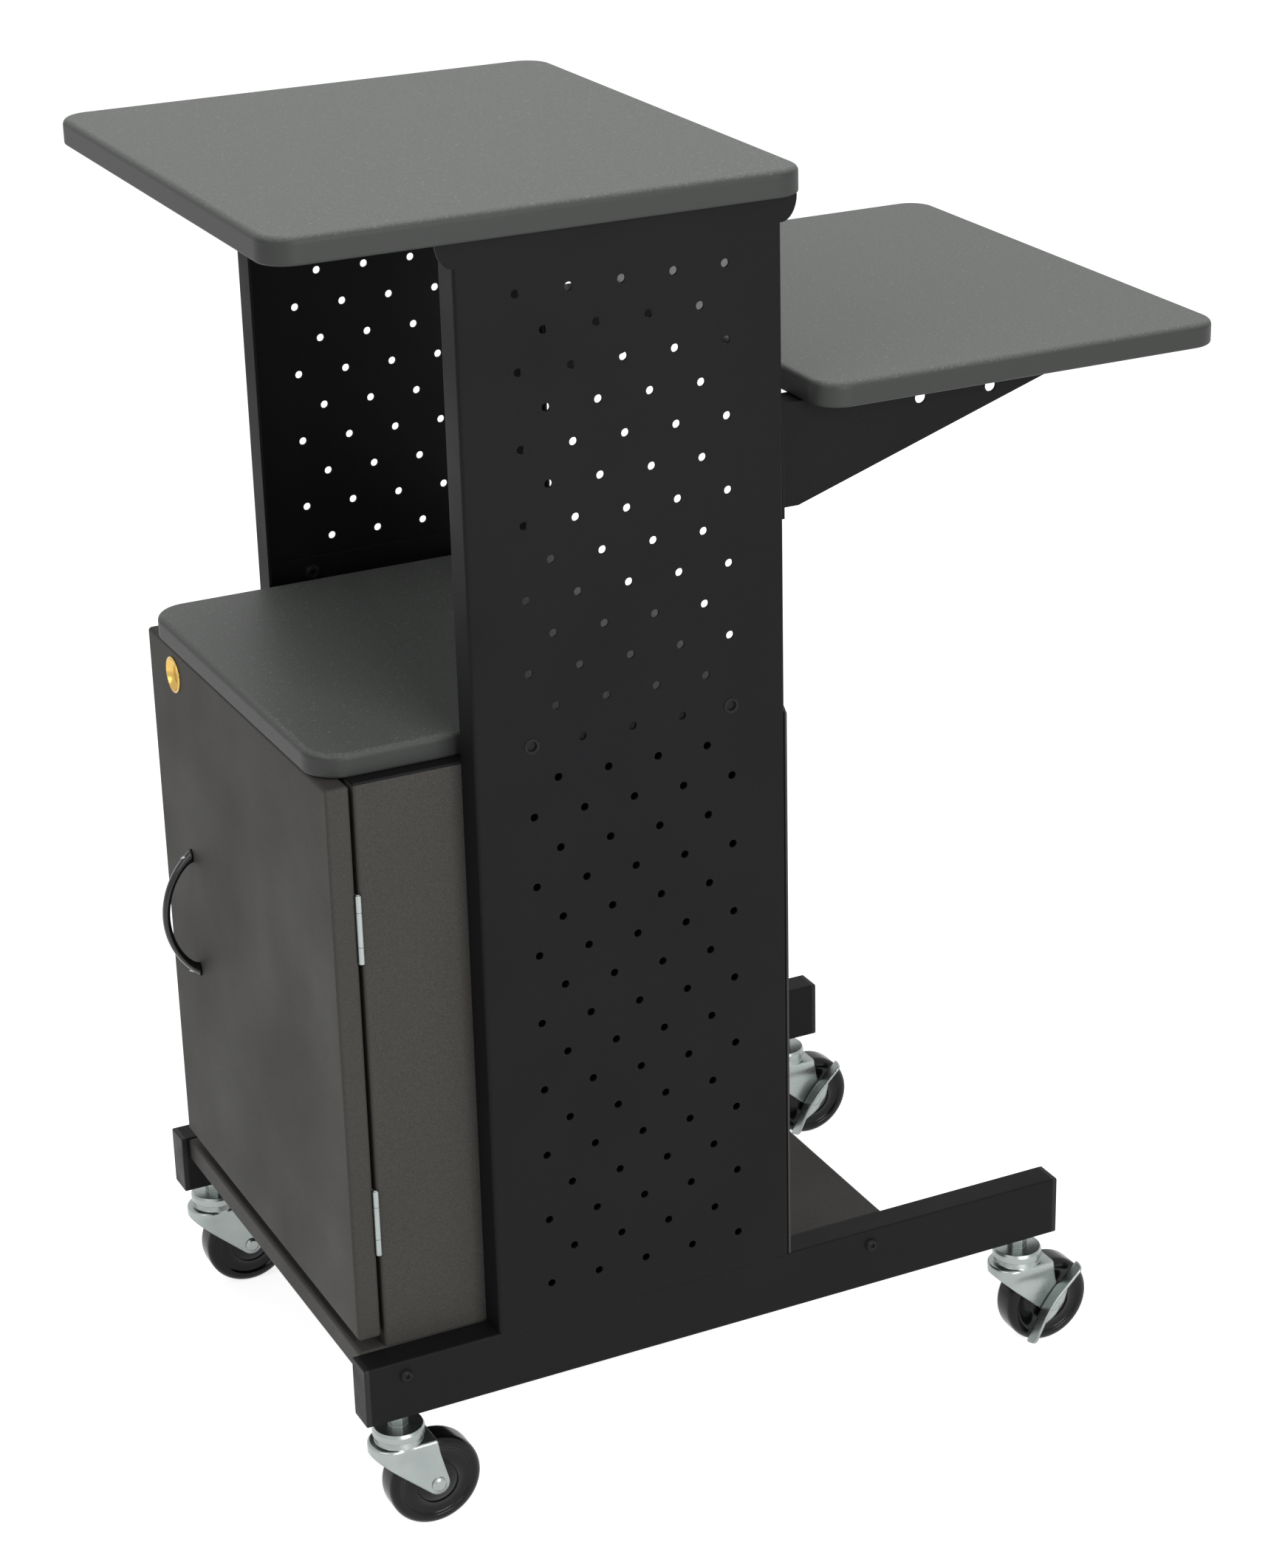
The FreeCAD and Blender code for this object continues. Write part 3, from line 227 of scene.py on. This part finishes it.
# the second colour of each powder coat is a painted highlight for its sharp edges
looks = {
    "frame_black": makePowderCoat("frameBlack", (0.0068, 0.0068, 0.0076),
                                  (0.022, 0.022, 0.023), 0.52),
    "cabinet_charcoal": makePowderCoat("cabinetCharcoal", (0.052, 0.050, 0.046),
                                       (0.095, 0.093, 0.088), 0.56),
    "shelf_grey": makeLaminate("shelfGrey", (0.108, 0.115, 0.108)),
    "black_screw": makePowderCoat("blackScrew", (0.012, 0.012, 0.012), (0.05, 0.05, 0.05), 0.38),
    "zinc": makeMetal("zincPlate", (0.36, 0.39, 0.375), 0.3, 700, (0.30, 0.335, 0.33)),
    "black_plastic": makePlastic("capPlastic", (0.012, 0.012, 0.012), 0.5, 1400, 0.15),
    "gloss_black": makePlastic("handlePlastic", (0.006, 0.006, 0.006), 0.14, 500, 0.02, 0.5),
    "wheel_black": makePlastic("wheelPlastic", (0.003, 0.003, 0.0033), 0.16, 700, 0.02),
    "brass": makeMetal("polishedBrass", (0.68, 0.46, 0.13), 0.2, 420, (0.55, 0.36, 0.09)),
}
slotOf = {part["node"]: part["material_slot"] for part in frame["record"]["subparts"]}
for node, piece in frame["nodes"].items():
    piece.data.materials.clear()
    piece.data.materials.append(looks[slotOf[node]])
print("materials on", len(frame["nodes"]), "nodes")


# pieces with finer shapes than the frame's

def addPiece(name, work, material, body, node):
    bmesh.ops.recalc_face_normals(work, faces=work.faces)
    mesh = bpy.data.meshes.new(name)
    work.to_mesh(mesh)
    work.free()
    for face in mesh.polygons:
        face.use_smooth = True
    mesh.materials.append(material)
    piece = bpy.data.objects.new(name, mesh)
    bpy.context.collection.objects.link(piece)
    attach(piece, body)
    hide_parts(node)
    return piece


def middleOf(node):
    low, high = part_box(node)
    return (Vector(low) + Vector(high)) / 2


def spinLoop(work, points, center, axis, segments):
    # closed loop of points turned once about an axis through the center
    verts = [work.verts.new(point) for point in points]
    edges = [work.edges.new(pair) for pair in zip(verts, verts[1:] + verts[:1])]
    bmesh.ops.spin(work, geom=verts + edges, cent=center, axis=axis, dvec=(0, 0, 0),
                   angle=2 * math.pi, steps=segments, use_merge=True)
    bmesh.ops.remove_doubles(work, verts=work.verts, dist=1e-6)


wheel = {"radius": 0.0381, "half": 0.0127, "shoulder": 0.006, "bore": 0.00405,
         "hubHalf": 0.0137, "hubRadius": 0.0095, "bossRadius": 0.017, "rimRadius": 0.0295,
         "recess": 0.0021, "soft": 0.0007, "segments": 96, "arcSteps": 7}


def wheelSide():
    # outer half of the wheel's section, from the bore to the middle of the tread
    soft = wheel["soft"]
    face = wheel["half"]
    floorLevel = face - wheel["recess"]
    points = [(wheel["bore"], wheel["hubHalf"]), (wheel["hubRadius"] - soft, wheel["hubHalf"]),
              (wheel["hubRadius"], wheel["hubHalf"] - soft), (wheel["hubRadius"] + soft, face),
              (wheel["bossRadius"] - soft, face), (wheel["bossRadius"], face - soft),
              (wheel["bossRadius"] + soft, floorLevel),
              (wheel["rimRadius"] - 2 * soft, floorLevel),
              (wheel["rimRadius"] - soft / 2, floorLevel + soft),
              (wheel["rimRadius"], face - soft), (wheel["rimRadius"] + soft, face)]
    middle = (wheel["radius"] - wheel["shoulder"], face - wheel["shoulder"])
    for step in range(wheel["arcSteps"] + 1):
        angle = math.pi / 2 * (1 - step / wheel["arcSteps"])
        points.append((middle[0] + wheel["shoulder"] * math.cos(angle),
                       middle[1] + wheel["shoulder"] * math.sin(angle)))
    return points


corners = ("front_right", "front_left", "rear_right", "rear_left")
for corner in corners:
    node = "caster_wheel_" + corner
    side = wheelSide()
    loop = side + [(radius, -x) for radius, x in reversed(side)]
    center = middleOf(node)
    work = bmesh.new()
    spinLoop(work, [center + Vector((x, 0, radius)) for radius, x in loop], center, (1, 0, 0),
             wheel["segments"])
    addPiece("wheel_" + corner + "_look", work, looks["wheel_black"], "wheel_" + corner, node)
print("wheels made")

fork = {"trail": 0.025, "axleHeight": 0.0381, "crownHeight": 0.080, "front": 0.025,
        "frontArc": 0.017, "rear": 0.0245, "half": 0.0162, "shoulder": 0.0033, "taper": 0.014,
        "lip": 0.008, "boss": 0.009, "bend": 0.0026, "sheet": 0.0022, "columns": 96, "rows": 20,
        "bendRows": 4, "arcShare": 0.3, "edgeShare": 0.65, "seatRadius": 0.0176,
        "seatFoot": 0.0192, "seatRise": 0.0022, "seatTop": 0.0903, "seatSoft": 0.001,
        "pinRadius": 0.0053, "segments": 72}


def tangentAngle(point, radius, side):
    # angle on a circle about the axle where a line from a (y, z) point touches it
    run = (point[0] - fork["trail"], point[1] - fork["axleHeight"])
    return math.atan2(run[1], run[0]) + side * math.acos(radius / math.hypot(*run))


frontLow = (-fork["front"], fork["crownHeight"] - fork["lip"])
rearTop = (fork["rear"], fork["crownHeight"] - fork["bend"])
frontTouch = tangentAngle(frontLow, fork["boss"], 1)
rearTouch = tangentAngle(rearTop, fork["boss"], -1)


def onBoss(angle):
    return (fork["trail"] + fork["boss"] * math.cos(angle),
            fork["axleHeight"] + fork["boss"] * math.sin(angle))


def onFrontEdge(y):
    # height of the fork's slanting front edge
    end = onBoss(frontTouch)
    share = (y - frontLow[0]) / (end[0] - frontLow[0])
    return frontLow[1] + share * (end[1] - frontLow[1])


def forkPoint(along, down):
    # point on the pressed sheet: along runs 0 to 1 from its front middle to its rear edge,
    # down from the crown's flat to the lower edge
    arcShare, edgeShare = fork["arcShare"], fork["edgeShare"]
    hub = -fork["front"] + fork["frontArc"]
    if along < arcShare:
        angle = math.pi / 2 * (1 - along / arcShare)
        side, ahead = math.cos(angle), math.sin(angle)
        top = (hub - fork["frontArc"] * ahead, rearTop[1])
        bottom = (top[0], onFrontEdge(top[0]))
    else:
        side, ahead = 1.0, 0.0
        part = (along - arcShare) / (1 - arcShare)
        top = (hub + part * (fork["rear"] - hub), rearTop[1])
        if along < edgeShare:
            part = (along - arcShare) / (edgeShare - arcShare)
            y = hub + part * (onBoss(frontTouch)[0] - hub)
            bottom = (y, onFrontEdge(y))
        else:
            part = (along - edgeShare) / (1 - edgeShare)
            sweep = (rearTouch - frontTouch) % (2 * math.pi)
            bottom = onBoss(frontTouch + part * sweep)
    bendShare = fork["bendRows"] / fork["rows"]
    if down < bendShare:
        angle = math.pi / 2 * down / bendShare
        inset = fork["bend"] * (1 - math.sin(angle))
        return ((fork["half"] + fork["shoulder"] - inset) * side, top[0] + inset * ahead,
                top[1] + fork["bend"] * math.cos(angle))
    fall = (down - bendShare) / (1 - bendShare)
    y = top[0] + fall * (bottom[0] - top[0])
    z = top[1] + fall * (bottom[1] - top[1])
    near = max(0.0, 1 - (top[1] - z) / fork["taper"])
    width = fork["half"] + fork["shoulder"] * near * near * (3 - 2 * near)
    return width * side, y, z


def stemOf(corner):
    # plan position of a caster's stem
    middle = middleOf("caster_stem_" + corner)
    return Vector((middle.x, middle.y, 0))


def makeFork(corner):
    work = bmesh.new()
    grid = bmesh.ops.create_grid(work, x_segments=fork["columns"], y_segments=fork["rows"],
                                 size=1)["verts"]
    rim = sorted((vert for vert in grid if vert.co.y > 1 - 1e-4), key=lambda vert: vert.co.x)
    for vert in grid:
        across, down = vert.co.x, (1 - vert.co.y) / 2
        x, y, z = forkPoint(abs(across), down)
        vert.co = Vector((math.copysign(x, across) if across else 0.0, y, z))
    work.faces.new(rim)
    bmesh.ops.recalc_face_normals(work, faces=work.faces)
    if sum(face.normal.z * face.calc_area() for face in work.faces) < 0:
        bmesh.ops.reverse_faces(work, faces=work.faces)
    bmesh.ops.solidify(work, geom=work.faces[:], thickness=fork["sheet"])
    low = fork["crownHeight"] - fork["sheet"]
    profile = [(fork["pinRadius"], low), (fork["seatFoot"], low),
               (fork["seatFoot"], fork["crownHeight"]),
               (fork["seatRadius"], fork["crownHeight"] + fork["seatRise"]),
               (fork["seatRadius"], fork["seatTop"] - fork["seatSoft"]),
               (fork["seatRadius"] - fork["seatSoft"], fork["seatTop"]),
               (fork["pinRadius"], fork["seatTop"])]
    spinLoop(work, [(radius, 0, z) for radius, z in profile], (0, 0, 0), (0, 0, 1),
             fork["segments"])
    bmesh.ops.translate(work, verts=work.verts, vec=stemOf(corner))
    addPiece("fork_" + corner + "_look", work, looks["zinc"], "caster_" + corner,
             "caster_fork_" + corner)


for corner in corners:
    makeFork(corner)
print("forks made")

lever = {"up": (57.0, 0.042), "down": (230.0, 0.038), "waist": 0.0095, "curve": 0.35,
         "start": 0.0165, "width": 0.012, "bend": 0.002, "tip": 0.0055, "hub": 0.0175,
         "hubReach": 0.013, "sheet": 0.002, "stations": 56, "across": 20, "round": 0.0065,
         "foldStart": 0.4, "foldEnd": 0.6, "plateTrim": 0.6, "flangeTrim": 0.75}


def fromAxle(angle, distance):
    turn = math.radians(angle)
    return Vector((distance * math.cos(turn), distance * math.sin(turn)))


def leverPath(share):
    # front line of the brake lever in (y, z) from the axle, share 0 to 1 from foot to top
    foot, top = fromAxle(*lever["down"]), fromAxle(*lever["up"])
    waist = fromAxle((lever["up"][0] + lever["down"][0]) / 2, lever["waist"])
    length = (waist - foot).length + (top - waist).length
    knee = (waist - foot).length / length
    ease = lever["curve"] / 2
    if share < knee - ease:
        return foot.lerp(waist, share / knee)
    if share > knee + ease:
        return waist.lerp(top, (share - knee) / (1 - knee))
    start = foot.lerp(waist, (knee - ease) / knee)
    end = waist.lerp(top, ease / (1 - knee))
    part = (share - knee + ease) / lever["curve"]
    return start.lerp(waist, part).lerp(waist.lerp(end, part), part)


def leverPoint(share, across):
    # across runs 0 to 1 from the plate's back edge, round the fold, to the flange's far edge
    place = leverPath(share)
    ahead = leverPath(min(1, share + 0.01)) - leverPath(max(0, share - 0.01))
    ahead.normalize()
    behind = Vector((ahead.y, -ahead.x))
    length = (place - leverPath(0)).length if share < 0.5 else (place - leverPath(1)).length
    reach = lever["tip"] + (lever["hub"] - lever["tip"]) * math.exp(
        -(place.length - lever["waist"]) ** 2 / lever["hubReach"] ** 2)
    edge = max(0.0, 1 - length / lever["round"])
    trim = 1 - math.sqrt(max(0.0, 1 - edge * edge))
    bend, foldStart, foldEnd = lever["bend"], lever["foldStart"], lever["foldEnd"]
    if across < foldStart:
        plate = (1 - across / foldStart) * (1 - lever["plateTrim"] * trim)
        depth, x = bend + (reach - bend) * plate, 0.0
    elif across < foldEnd:
        turn = math.pi / 2 * (across - foldStart) / (foldEnd - foldStart)
        depth, x = bend * (1 - math.sin(turn)), bend * (1 - math.cos(turn))
    else:
        flange = (across - foldEnd) / (1 - foldEnd) * (1 - lever["flangeTrim"] * trim)
        depth, x = 0.0, bend + (lever["width"] - bend) * flange
    spot = place + behind * depth
    return Vector((lever["start"] + x, fork["trail"] + spot.x, fork["axleHeight"] + spot.y))


for corner in ("rear_right", "rear_left"):
    work = bmesh.new()
    grid = bmesh.ops.create_grid(work, x_segments=lever["stations"], y_segments=lever["across"],
                                 size=1)["verts"]
    for vert in grid:
        vert.co = leverPoint((vert.co.x + 1) / 2, (vert.co.y + 1) / 2)
    bmesh.ops.recalc_face_normals(work, faces=work.faces)
    flange = max(work.faces, key=lambda face: face.calc_center_median().x)
    if flange.normal.y - flange.normal.z > 0:
        bmesh.ops.reverse_faces(work, faces=work.faces)
    bmesh.ops.solidify(work, geom=work.faces[:], thickness=lever["sheet"])
    bmesh.ops.translate(work, verts=work.verts, vec=stemOf(corner))
    addPiece("brake_" + corner + "_look", work, looks["zinc"], "brake_" + corner,
             "brake_lever_" + corner)
print("brake levers made")

handle = {"halfLength": 0.057, "rise": 0.0285, "footInner": 0.045, "innerRise": 0.0222,
          "slimWidth": 0.0039, "footWidth": 0.0046, "footEase": 0.004, "flare": 6,
          "stations": 48, "sides": 24}


def arcPoint(halfChord, rise, share):
    # point on an arc over a chord, share -1 to 1 along it: (along, out)
    radius = (halfChord ** 2 + rise ** 2) / (2 * rise)
    angle = share * math.asin(halfChord / radius)
    return radius * math.sin(angle), rise - radius * (1 - math.cos(angle))


low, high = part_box("door_handle")
root = Vector(((low[0] + high[0]) / 2, high[1], (low[2] + high[2]) / 2))
work = bmesh.new()
grid = bmesh.ops.create_grid(work, x_segments=handle["stations"], y_segments=handle["sides"],
                             size=1)["verts"]
for vert in grid:
    share, turn = vert.co.x, math.pi * (vert.co.y + 1)
    flare = abs(share) ** handle["flare"]
    outAlong, outRise = arcPoint(handle["halfLength"], handle["rise"], share)
    inAlong, inRise = arcPoint(handle["footInner"] + (1 - flare) * handle["footEase"],
                               handle["innerRise"], share)
    width = handle["slimWidth"] + (handle["footWidth"] - handle["slimWidth"]) * flare
    mix = (1 + math.cos(turn)) / 2
    vert.co = root + Vector((width * math.sin(turn), -(inRise + (outRise - inRise) * mix),
                             inAlong + (outAlong - inAlong) * mix))
bmesh.ops.remove_doubles(work, verts=work.verts, dist=1e-6)
bmesh.ops.holes_fill(work, edges=work.edges, sides=handle["sides"])
addPiece("door_handle_look", work, looks["gloss_black"], "door", "door_handle")
print("handle made")


# camera, light and floor

def seenDirectly(tree, otherwise, direct):
    # one strength for the camera and reflections, another for the light on the object
    rays = tree.nodes.new("ShaderNodeLightPath")
    reflected = tree.nodes.new("ShaderNodeMath")
    reflected.operation = "MAXIMUM"
    tree.links.new(rays.outputs["Is Glossy Ray"], reflected.inputs[0])
    tree.links.new(rays.outputs["Is Transmission Ray"], reflected.inputs[1])
    either = tree.nodes.new("ShaderNodeMath")
    either.operation = "MAXIMUM"
    tree.links.new(rays.outputs["Is Camera Ray"], either.inputs[0])
    tree.links.new(reflected.outputs["Value"], either.inputs[1])
    return spread(tree, either.outputs["Value"], otherwise, direct, 0.0, 1.0)


# where the camera stands and its three directions
camera = {"place": (2.3699, -1.1520, 1.6015), "lens": 80.405, "shift": (-0.01574, -0.01408),
          "right": (0.448505, 0.893557, -0.019963), "up": (-0.335844, 0.189185, 0.922723),
          "back": (0.828282, -0.407142, 0.384947)}
lens = bpy.data.cameras.new("camera")
lens.lens = camera["lens"]
lens.sensor_width = 36
lens.shift_x, lens.shift_y = camera["shift"]
eye = bpy.data.objects.new("camera", lens)
turn = Matrix((camera["right"], camera["up"], camera["back"])).transposed()
eye.matrix_world = Matrix.Translation(camera["place"]) @ turn.to_4x4()
bpy.context.collection.objects.link(eye)
bpy.context.scene.camera = eye

lamps = {
    "key": {"place": (1.2, -2.6, 2.6), "aim": (0, 0, 0.5), "size": 2.0, "power": 23},
    "side": {"place": (3.4, 0.2, 1.7), "aim": (0, 0, 0.5), "size": 1.8, "power": 76},
    "top": {"place": (-0.6, 0.4, 3.4), "aim": (0, 0, 0.8), "size": 2.0, "power": 26},
}
for name, lamp in lamps.items():
    light = bpy.data.lights.new(name, "AREA")
    light.size = lamp["size"]
    light.energy = lamp["power"]
    holder = bpy.data.objects.new(name, light)
    holder.location = lamp["place"]
    aim = Vector(lamp["aim"]) - Vector(lamp["place"])
    holder.rotation_euler = aim.to_track_quat("-Z", "Y").to_euler()
    bpy.context.collection.objects.link(holder)

floorMesh = bpy.data.meshes.new("floor")
floorWork = bmesh.new()
bmesh.ops.create_grid(floorWork, x_segments=1, y_segments=1, size=30)
floorWork.to_mesh(floorMesh)
floorWork.free()
floor = bpy.data.objects.new("floor", floorMesh)
bpy.context.collection.objects.link(floor)
floorLook, floorShader = newMaterial("floorWhite", (0.82, 0.82, 0.82), 0.9, specular=0.1)
floorTree = floorLook.node_tree
floorShader.inputs["Emission Color"].default_value = (1, 1, 1, 1)
floorTree.links.new(seenDirectly(floorTree, 0.0, 0.8), floorShader.inputs["Emission Strength"])
floorMesh.materials.append(floorLook)

world = bpy.data.worlds.new("studio")
world.use_nodes = True
bpy.context.scene.world = world
background = world.node_tree.nodes["Background"]
background.inputs["Color"].default_value = (1, 1, 1, 1)
world.node_tree.links.new(seenDirectly(world.node_tree, 0.27, 1.0),
                          background.inputs["Strength"])
bpy.context.scene.view_settings.view_transform = "Standard"
print("camera, lamps and floor ready")
